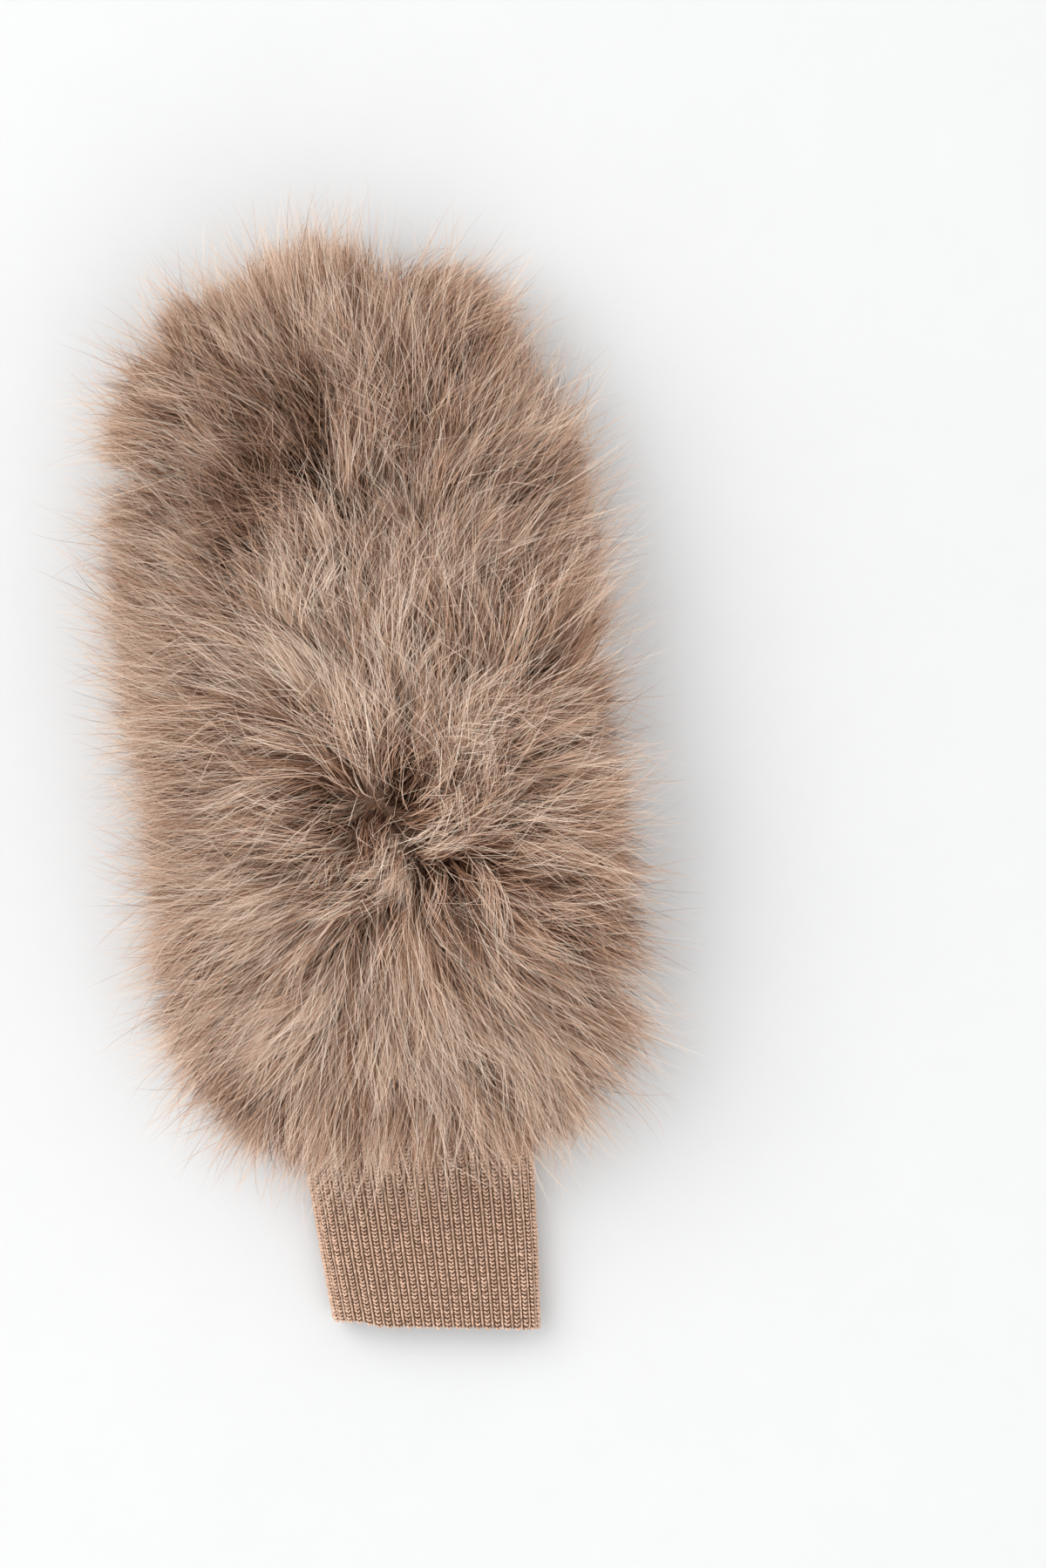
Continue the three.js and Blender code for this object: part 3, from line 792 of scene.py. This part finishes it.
def combDirection(points):
    gap = ((points[:, None, :2] - combPoints[None]) ** 2).sum(axis=2)
    weight = np.exp(-gap / (2 * fur["combBlend"] ** 2)) + 1e-6
    x = (weight * np.cos(combTurns)).sum(axis=1)
    y = (weight * np.sin(combTurns)).sum(axis=1)
    firmness = np.hypot(x, y) / weight.sum(axis=1)
    return unit(np.stack([x, y, np.zeros(len(points))], axis=1)), firmness


# how far outside the outline a point lies, read from a grid of distances
gridStep = 1 * mm
gridMargin = 40 * mm
outlineY = furCorner[1] + furOutline[:, 0] * furSize[1]
outlineLeft = furMiddle[0] - furOutline[:, 1] * furSize[0] / 2
outlineRight = furMiddle[0] + furOutline[:, 2] * furSize[0] / 2


def distanceGrid():
    xs = np.arange(furCorner[0] - gridMargin, furCorner[0] + furSize[0] + gridMargin, gridStep)
    ys = np.arange(furCorner[1] - gridMargin, furCorner[1] + furSize[1] + gridMargin, gridStep)
    gridX, gridY = np.meshgrid(xs, ys, indexing="ij")
    corners = np.concatenate([
        np.stack([outlineLeft, outlineY], axis=1),
        np.stack([outlineRight, outlineY], axis=1)[::-1],
    ])
    distance = np.full(gridX.shape, np.inf)
    for start, end in zip(corners, np.roll(corners, -1, axis=0)):
        run = end - start
        length = max((run ** 2).sum(), 1e-12)
        share = np.clip(((gridX - start[0]) * run[0] + (gridY - start[1]) * run[1]) / length, 0, 1)
        gap = np.hypot(gridX - start[0] - share * run[0], gridY - start[1] - share * run[1])
        distance = np.minimum(distance, gap)
    left = np.interp(ys, outlineY, outlineLeft)[None]
    right = np.interp(ys, outlineY, outlineRight)[None]
    inside = (gridX > left) & (gridX < right) & (gridY > outlineY[0]) & (gridY < outlineY[-1])
    return xs[0], ys[0], np.where(inside, -distance, distance)


distanceX, distanceY, distances = distanceGrid()


def outsideBy(points):
    i = np.clip(((points[:, 0] - distanceX) / gridStep).astype(int), 0, distances.shape[0] - 1)
    j = np.clip(((points[:, 1] - distanceY) / gridStep).astype(int), 0, distances.shape[1] - 1)
    return distances[i, j]


# what the hair lies on: the table, the cuff and the thumb
def restingHeight(points):
    x, y = points[..., 0], points[..., 1]
    radius = cuffThick / 2
    beside = np.abs(x - cuffMiddle) - (wristWidth / 2 - radius)
    domed = radius + np.sqrt(np.clip(radius ** 2 - np.clip(beside, 0, radius) ** 2, 0, None))
    overCuff = np.where((beside < radius) & (y < cuffHigh.y), domed, 0)
    share = np.clip((x - thumbStartX) / thumb["reach"], 0, 1)
    inThumb = (x > palmMiddle) & (x < thumbHigh.x)
    inThumb &= (y > thumbEdge(share, 1)) & (y < thumbEdge(share, 2))
    overThumb = np.where(inThumb, thumbHigh.z - thumbLow.z, 0)
    return np.maximum(overCuff, overThumb) + fur["clearance"]


# painted light and shade in the tone, and change of length, at each point
def spotsAt(points):
    tone, length = np.zeros(len(points)), np.zeros(len(points))
    for across, along, radius, toneChange, lengthChange in lightAndShadeSpots:
        nearness = softSpot(points[:, 0], points[:, 1], furPlace(across, along), radius * mm)
        tone += toneChange * nearness
        length += lengthChange * nearness
    return tone, length


def scatterRoots(count, rng):
    along = rng.random(3 * count)
    y = palmLow.y + palmLength * along
    left, right, _, _ = seamAt(y)
    keep = rng.random(3 * count) < (right - left + 20 * mm) / (palmWidth + 20 * mm)
    along = along[keep][:count]
    across = 0.5 - 0.5 * np.cos(np.pi * rng.random(len(along)))
    return across, along


def rotated(direction, turn):
    cos, sin = np.cos(turn), np.sin(turn)
    x = direction[:, 0] * cos - direction[:, 1] * sin
    y = direction[:, 0] * sin + direction[:, 1] * cos
    return np.stack([x, y, direction[:, 2]], axis=1)


stations = np.array(fur["stations"])


def hairPaths(roots, normals, comb, bend, length, rootLean, tipLean, droop):
    start = rotated(comb, -bend / 2)
    start = unit(normals * np.cos(rootLean)[:, None] + start * np.sin(rootLean)[:, None])
    end = rotated(comb, bend)
    end = normals * np.cos(tipLean)[:, None] + end * np.sin(tipLean)[:, None]
    end[:, 2] -= droop
    end = unit(end)
    t = stations[None, :, None]
    reach = start[:, None] * (t - t * t / 2) + end[:, None] * (t * t / 2)
    return roots[:, None] + length[:, None, None] * reach


def nearest(points, centres):
    tree = KDTree(len(centres))
    for index, centre in enumerate(centres):
        tree.insert(centre, index)
    tree.balance()
    return np.array([tree.find(point)[1] for point in points])


# how the hair stands at each root: straighter up on the crown, flatter at the sides and ends
def hairStand(across, along):
    roots = skinPoint(across, along)
    comb, firmness = combDirection(roots)
    ends = 1 - smoothStep(np.minimum(along, 1 - along), 0, fur["endShare"])
    normals = unit(skinNormal(across, along) + fur["endTurn"] * ends[:, None] * comb)
    side = 1 - np.clip(normals[:, 2], 0, 1)
    firmness = np.maximum(smoothStep(firmness, 0.2, 0.85), side)
    length = mix(fur["topLength"], fur["sideLength"], side) * (1 + spotsAt(roots)[1])
    droop = fur["droop"] * (0.1 + 1.4 * side)
    return roots, normals, comb, firmness, length, droop


# where the combing turns round, a strand takes its direction from the lock or wisp it belongs to
def combedAs(stand, leading, of):
    roots, normals, comb, firmness, length, droop = stand
    return roots, normals, unit(mix(leading[2][of], comb, firmness[:, None])), firmness, length, droop


def growGuides(rng):
    area = palmLength * palmWidth * fur["rootArea"]
    guides = {}
    for level, spread in guideSpread.items():
        across, along = scatterRoots(int(area / spread["spacing"] ** 2), rng)
        count = len(across)
        guides[level] = {
            "stand": hairStand(across, along),
            "turn": spread["turn"] * rng.standard_normal(count),
            "bend": fur["bend"] * rng.standard_normal(count),
            "length": 1 + spread["length"] * rng.standard_normal(count),
            "lean": spread["lean"] * rng.standard_normal(count),
            "tone": spread["tone"] * rng.standard_normal(count),
            "margin": spread["margin"] * rng.standard_normal(count),
        }
    lock, wisp = guides["lock"], guides["wisp"]
    lock["turn"] *= mix(fur["looseTurn"], 1, lock["stand"][3])
    wisp["of"] = nearest(wisp["stand"][0], lock["stand"][0])
    wisp["stand"] = combedAs(wisp["stand"], lock["stand"], wisp["of"])
    for key in ("turn", "lean", "tone", "margin"):
        wisp[key] = wisp[key] + lock[key][wisp["of"]]
    wisp["length"] = wisp["length"] * lock["length"][wisp["of"]]
    for guide in (lock, wisp):
        shape = [guide[key] for key in ("stand", "turn", "bend", "lean", "length")]
        guide["path"] = strandPaths(*shape)
    gather = fur["lockGather"] * stations[None, :, None] ** 1.4
    wisp["path"] = mix(wisp["path"], lock["path"][wisp["of"]], gather)
    return guides


def strandPaths(stand, turn, bend, lean, length):
    roots, normals, comb, firmness, base, droop = stand
    share = mix(fur["looseLean"], 1, firmness)
    rootLean = np.clip(share * fur["rootLean"] + lean, -0.4, 1.4)
    tipLean = np.clip(share * fur["tipLean"] + 1.5 * lean, -0.6, 1.6)
    return hairPaths(roots, normals, rotated(comb, turn), bend, base * length, rootLean, tipLean, droop)


# side strands grow or shrink to meet the outline, and all are lifted off what they lie on
def settle(paths, margin, most):
    roots = paths[:, :1]
    scale = most
    for trial in np.arange(1.35, 0.3, -0.05):
        tips = roots[:, 0] + trial * (paths[:, -1] - roots[:, 0])
        scale = np.where((outsideBy(tips) > margin) & (trial - 0.05 < scale), trial - 0.05, scale)
    paths = roots + scale[:, None, None] * (paths - roots)
    floor = restingHeight(paths)
    height = paths[:, :, 2] - floor
    soft = fur["liftSoftness"]
    lifted = np.where(height > soft, height, soft * np.exp(np.clip((height - soft) / soft, -30, 0)))
    paths[:, :, 2] = np.where(stations[None] > 0, floor + lifted, paths[:, :, 2])
    over = np.clip(paths[:, :, 2] - fur["crown"], 0, None)
    paths[:, :, 2] -= over - fur["crownSoftness"] * (1 - np.exp(-over / fur["crownSoftness"]))
    return paths


# strands as flat ribbons that end in a point, turned by their roll
def ribbons(name, paths, width, roll, tone):
    count, steps = len(paths), len(stations)
    tangents = unit(np.gradient(paths, axis=1))
    side = unit(np.cross(tangents, np.array([0, 0, 1.0]) + 1e-4))
    third = np.cross(tangents, side)
    side = side * np.cos(roll)[:, None, None] + third * np.sin(roll)[:, None, None]
    taper = (1 - stations ** 3)[:-1]
    taper[0] *= fur["rootWidth"]
    half = (width[:, None] * taper[None] / 2)[:, :, None]
    body = paths[:, :-1]
    points = np.concatenate([
        np.stack([body - side[:, :-1] * half, body + side[:, :-1] * half], axis=2).reshape(count, -1, 3),
        paths[:, -1:],
    ], axis=1)
    corners = []
    for step in range(steps - 2):
        a = 2 * step
        corners += [(a, a + 1, a + 3), (a, a + 3, a + 2)]
    last = 2 * (steps - 1)
    corners.append((last - 2, last - 1, last))
    each = points.shape[1]
    faces = np.array(corners)[None] + (np.arange(count) * each)[:, None, None]
    tones = np.repeat(np.clip(tone, 0.01, 0.99)[:, None], each, axis=1)
    tones[:, 0:-1:2] -= 0.0015  # so that no ribbon's UVs have an area of nought
    tones[:, 1:-1:2] += 0.0015
    lengths = np.concatenate([np.repeat(stations[:-1], 2), stations[-1:]])
    uvs = np.stack([tones, np.broadcast_to(lengths, tones.shape)], axis=2)
    return arrayPiece(name, points.reshape(-1, 3), faces.reshape(-1, 3), uvs.reshape(-1, 2))


def growFur(name, style, guides, seed):
    rng = np.random.default_rng(seed)
    across, along = scatterRoots(style["count"], rng)
    stand = hairStand(across, along)
    count = len(across)
    wisp = guides["wisp"]
    of = nearest(stand[0], wisp["stand"][0])
    stand = combedAs(stand, wisp["stand"], of)
    turn = wisp["turn"][of] + fur["hairTurn"] * style["loose"] * rng.standard_normal(count)
    bend = wisp["bend"][of] + fur["hairBend"] * fur["bend"] * style["loose"] * rng.standard_normal(count)
    astray = mix(fur["looseCross"], 1, stand[3]) * style["loose"] * rng.standard_normal(count)
    lean = wisp["lean"][of] + fur["hairLean"] * astray
    length = wisp["length"][of] * style["length"]
    length = length * (1 + style["lengthSpread"] * rng.standard_normal(count))
    paths = strandPaths(stand, turn, bend, lean, np.clip(length, *fur["hairLengths"]))
    gather = style["gather"] * fur["wispGather"] * rng.uniform(0.6, 1.2, count)[:, None, None]
    target = wisp["path"][of]
    middle = target[:, :1] + style["length"] * (target - target[:, :1])
    paths = mix(paths, middle, np.clip(gather * stations[None, :, None] ** 1.3, 0, 0.95))
    sway = style["sway"] * mm * rng.standard_normal((count, 1, 3))
    sway = sway * np.sin(np.pi * 1.3 * stations)[None, :, None]
    paths = paths + sway * stations[None, :, None]
    margin = mm * (style["margin"] + style["marginSpread"] * rng.standard_normal(count))
    margin = np.minimum(wisp["margin"][of] + margin, fur["farthest"])
    paths = settle(paths, margin, 1 + fur["rimStretch"] * (1 - np.clip(stand[1][:, 2], 0, 1)))
    width = style["width"] * mm * rng.uniform(0.7, 1.3, count)
    roll = rng.uniform(-1.1, 1.1, count)
    tone = style["tone"] + wisp["tone"][of] + style["toneSpread"] * rng.standard_normal(count)
    # painted shade: strands whose tips reach past the outline are made darker
    shade = style["rimShade"] * smoothStep(outsideBy(paths[:, -1]), 0, fur["rimShadeReach"])
    # painted light and shade from the spots near each tip
    tone += spotsAt(paths[:, -2])[0] - shade
    finishPiece(ribbons(name, paths, width, roll, tone), furMaterial, "fur")


# kinds of hair; width, sway and margins are in mm
pileStyle = {
    "count": 25500, "length": 1.0, "lengthSpread": 0.18, "width": 0.24, "gather": 1.1,
    "loose": 1.0, "sway": 0.9, "margin": 0.0, "marginSpread": 2.0,
    "tone": 0.5, "toneSpread": 0.26, "rimShade": 0,
}
underStyle = dict(
    pileStyle, length=0.66, width=0.42, gather=0.5, loose=2.0, tone=0.4, toneSpread=0.1,
)
guardStyle = dict(
    pileStyle, count=20000, length=1.36, width=0.17, gather=0.3, loose=1.9, sway=1.2,
    margin=8, marginSpread=7, tone=0.86, toneSpread=0.14, rimShade=0.1,
)

print("fur")
guides = growGuides(np.random.default_rng(fur["seed"]))
growFur("fur_undercoat", underStyle, guides, 21)
growFur("fur_pile_1", pileStyle, guides, 31)
growFur("fur_pile_2", pileStyle, guides, 32)
growFur("fur_guard_hair", guardStyle, guides, 41)


# stage: pale table, soft light, camera straight above

stage = {
    "tableSize": 4,
    "cameraHeight": 1.6,
    "viewHeight": 0.4408,  # what the picture's height spans at the mitten
    "viewCentre": (0.0415, furLow.y + 0.1111),
    "viewTurn": math.radians(-6),
    "focusLevel": 0.025,
    "sensor": 24,
    # place, side length in metres and power of each softbox
    "softboxes": {"key_light": ((-1.1, 0.8, 1.6), 1.8, 25), "fill_light": ((0.5, -1.3, 1.5), 1.8, 11)},
    "worldStrength": 0.76,
}


def makeTable():
    deselectAll()
    bpy.ops.mesh.primitive_plane_add(size=stage["tableSize"])
    table = bpy.context.object
    table.name = "table"
    material, nodes, links, shader = newMaterial("table_white", 0.9)
    nap = addNap(nodes, 3, 40)
    colour = addRamp(nodes, links, nap.outputs["Tone"], [
        (0.3, (0.75, 0.755, 0.76, 1)),
        (0.7, (0.775, 0.78, 0.785, 1)),
    ])
    links.new(colour, shader.inputs["Base Color"])
    table.data.materials.append(material)


def makeCamera():
    x, y = stage["viewCentre"]
    deselectAll()
    bpy.ops.object.camera_add(location=(x, y, stage["cameraHeight"]), rotation=(0, 0, stage["viewTurn"]))
    camera = bpy.context.object
    camera.data.sensor_fit = "VERTICAL"
    camera.data.sensor_height = stage["sensor"]
    distance = stage["cameraHeight"] - stage["focusLevel"]
    camera.data.lens = stage["sensor"] * distance / stage["viewHeight"]
    bpy.context.scene.camera = camera


def addSoftbox(name, place, size, power):
    deselectAll()
    bpy.ops.object.light_add(type="AREA", location=place)
    light = bpy.context.object
    light.name = name
    light.data.shape = "SQUARE"
    light.data.size = size
    light.data.energy = power
    light.rotation_euler = (Vector((0, 0, 0)) - Vector(place)).to_track_quat("-Z", "Y").to_euler()


print("stage")
makeTable()
makeCamera()
for name, (place, size, power) in stage["softboxes"].items():
    addSoftbox(name, place, size, power)
world = bpy.data.worlds.new("studio")
world.use_nodes = True
background = world.node_tree.nodes["Background"]
background.inputs["Color"].default_value = (1, 1, 1, 1)
background.inputs["Strength"].default_value = stage["worldStrength"]
bpy.context.scene.world = world
bpy.context.scene.view_settings.view_transform = "Standard"

# deep in the pile more bounces and finer sampling only cost time
cycles = bpy.context.scene.cycles
cycles.max_bounces = 4
cycles.diffuse_bounces = 2
cycles.glossy_bounces = 1
cycles.adaptive_threshold = 0.2

print("finished")
